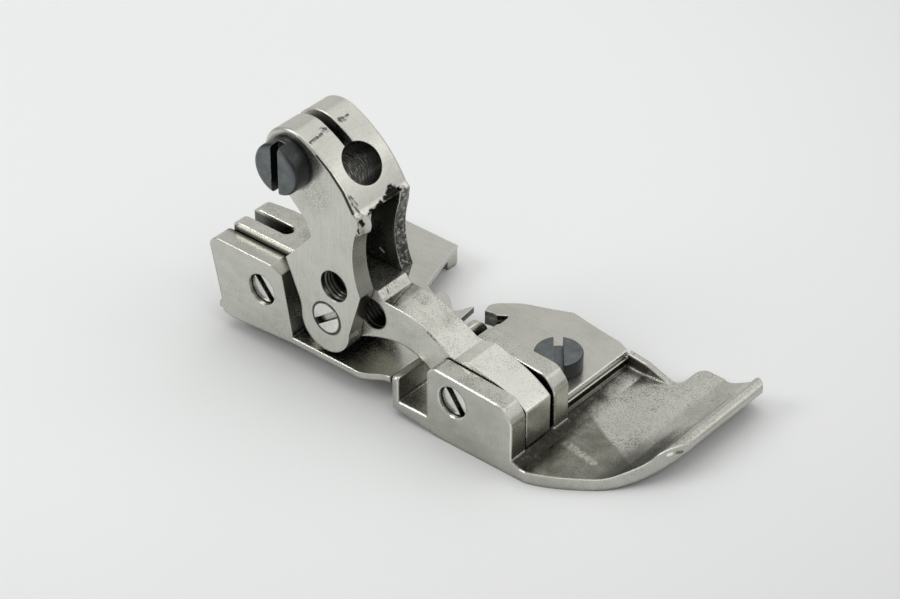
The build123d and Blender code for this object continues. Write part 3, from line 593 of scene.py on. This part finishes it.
def finishPiece(name, mesh, body, slot, smooth=False):
    data = bpy.data.meshes.new(name)
    mesh.to_mesh(data)
    mesh.free()
    for polygon in data.polygons:
        polygon.use_smooth = smooth
    data.materials.append(materials[slot])
    piece = bpy.data.objects.new(name, data)
    bpy.context.collection.objects.link(piece)
    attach(piece, body)


# threads in the two lock holes: a triangular ridge wound along the hole, its back sunk in the wall
threadSettings = {
    "leg_thread": {"body": "shank", "slot": "shank_steel", "from": (-4.65, *legHole[1:]), "length": 2.0},
    "arm_thread": {"body": "arm", "slot": "arm_steel", "from": (-2.25, *armHole[1:]), "length": 4.4},
}
threadPitch, threadDepth, threadRadius, threadSunk, threadSteps, threadWeld = 0.5, 0.24, 2.0, 0.05, 36, 1e-7
for name, settings in threadSettings.items():
    mesh = bmesh.new()
    centre = Vector(settings["from"]) * mm
    turns = (settings["length"] - threadPitch) / threadPitch
    root, crest = threadRadius + threadSunk, threadRadius - threadDepth
    corners = [(0, root), (threadPitch / 2, crest), (threadPitch, root)]
    section = [mesh.verts.new(centre + Vector((along, 0, out)) * mm) for along, out in corners]
    face = mesh.faces.new(section)
    bmesh.ops.spin(mesh, geom=[face, *face.edges, *face.verts], cent=centre, axis=(1, 0, 0),
                   dvec=(threadPitch * mm / threadSteps, 0, 0), angle=math.tau * turns,
                   steps=int(turns * threadSteps), use_merge=False)
    bmesh.ops.remove_doubles(mesh, verts=mesh.verts, dist=threadWeld)
    bmesh.ops.recalc_face_normals(mesh, faces=mesh.faces)
    finishPiece(name, mesh, settings["body"], settings["slot"])
print("threads ready")


# small raised forms on the shank: the lug at the left leg's top corner and the burr at the pocket's edge
raisedSettings = {
    "leg_lug": {"outline": [(-4.78, 24.6), (-4.2, 24.75), (-3.29, 24.34), (-2.56, 23.28), (-2.5, 22.43),
                            (-2.85, 21.81), (-3.85, 21.93), (-4.7, 22.15), (-4.78, 23.3)],
                "back": 14.5, "rise": 0.75, "lean": 5, "bevel": 0.2},
    "edge_burr": {"outline": [(2.45, 24.75), (2.9, 25.0), (3.4, 24.7), (3.7, 24.1), (3.3, 23.75), (3.0, 24.1),
                              (2.7, 24.3)],
                  "back": 14.5, "rise": 0.42, "lean": 0, "bevel": 0.14},
}
for name, settings in raisedSettings.items():
    mesh = bmesh.new()
    corners = [mesh.verts.new(Vector((px, settings["back"], pz)) * mm) for px, pz in settings["outline"]]
    face = mesh.faces.new(corners)
    raised = bmesh.ops.extrude_face_region(mesh, geom=[face])["geom"]
    moved = [item for item in raised if isinstance(item, bmesh.types.BMVert)]
    bmesh.ops.translate(mesh, verts=moved, vec=(0, -settings["rise"] * mm, 0))
    foot = min((v.co for v in moved), key=lambda c: c.z).copy()
    tilt = Matrix.Rotation(math.radians(-settings["lean"]), 3, "X")
    bmesh.ops.rotate(mesh, verts=moved, cent=foot, matrix=tilt)
    bmesh.ops.recalc_face_normals(mesh, faces=mesh.faces)
    bmesh.ops.bevel(mesh, geom=mesh.edges[:], offset=settings["bevel"] * mm, segments=3, profile=0.5, affect="EDGES",
                    material=-1)
    finishPiece(name, mesh, "shank", "shank_steel", smooth=True)
print("raised forms ready")


# table, with painted shade far away and a painted contact shadow close round the foot; places in metres
floorSettings = {"size": 4.0, "colour": (0.86, 0.875, 0.872), "far": (0.62, 0.63, 0.625), "close": (0.50, 0.505, 0.50),
                 "centre": (0.02, 0.07, 0.0), "farFrom": 0.055, "farFull": 0.19, "closeReach": 0.012, "closeShare": 0.4,
                 "rough": 0.85, "sheen": 0.2}
floorMesh = bmesh.new()
bmesh.ops.create_grid(floorMesh, x_segments=1, y_segments=1, size=floorSettings["size"] / 2)
floorData = bpy.data.meshes.new("table")
floorMesh.to_mesh(floorData)
floorMesh.free()
table = bpy.data.objects.new("table", floorData)
bpy.context.collection.objects.link(table)
floorMaterial = bpy.data.materials.new("table")
floorMaterial.use_nodes = True
floorTree = floorMaterial.node_tree
floorShader = floorTree.nodes["Principled BSDF"]
floorCoords = floorTree.nodes.new("ShaderNodeTexCoord").outputs["Object"]
away = vectorMaths(floorTree, "DISTANCE", floorCoords, floorSettings["centre"])
away = between(floorTree, away, floorSettings["farFrom"], floorSettings["farFull"])
tone = mixColour(floorTree, away, floorSettings["colour"], floorSettings["far"])
# a painted contact shadow from occlusion round the foot
contact = addNode(floorTree, "ShaderNodeAmbientOcclusion", samples=6, Distance=floorSettings["closeReach"])
contact = between(floorTree, contact.outputs["AO"], 0.95, 0.35)
tone = paint(floorTree, tone, contact, floorSettings["closeShare"], floorSettings["close"])
link(floorTree, tone, floorShader.inputs["Base Color"])
floorShader.inputs["Roughness"].default_value = floorSettings["rough"]
floorShader.inputs["Specular IOR Level"].default_value = floorSettings["sheen"]
floorData.materials.append(floorMaterial)

worldSettings = {"colour": (1.0, 0.995, 0.98), "strength": 0.44}
world = bpy.data.worlds.new("studio")
bpy.context.scene.world = world
world.use_nodes = True
background = world.node_tree.nodes["Background"]
background.inputs["Color"].default_value = (*worldSettings["colour"], 1)
background.inputs["Strength"].default_value = worldSettings["strength"]

# softboxes: place and size in metres, and radiance
softboxes = {
    "topSoftbox": ((0.0, 0.12, 1.0), (0.85, 0.85), 0.87), "rightSoftbox": ((0.74, -0.08, 0.68), (1.2, 0.72), 0.58),
    "frontSoftbox": ((0.62, -0.86, 0.55), (0.9, 0.7), 0.55), "fillSoftbox": ((-0.08, -0.60, 0.72), (0.8, 0.34), 1.5),
    "leftSoftbox": ((-0.38, 0.34, 0.40), (0.28, 0.25), 4.3), "backSoftbox": ((0.42, 0.44, 0.20), (0.7, 0.52), 0.31),
}
softboxAim = Vector((0.006, -0.002, 0.01))
for name, (place, size, glow) in softboxes.items():
    lampData = bpy.data.lights.new(name, "AREA")
    lampData.shape = "RECTANGLE"
    lampData.size, lampData.size_y = size
    lampData.energy = glow * math.pi * size[0] * size[1]
    lamp = bpy.data.objects.new(name, lampData)
    lamp.location = place
    lamp.rotation_euler = (softboxAim - Vector(place)).to_track_quat("-Z", "Y").to_euler()
    bpy.context.collection.objects.link(lamp)
print("stage ready")
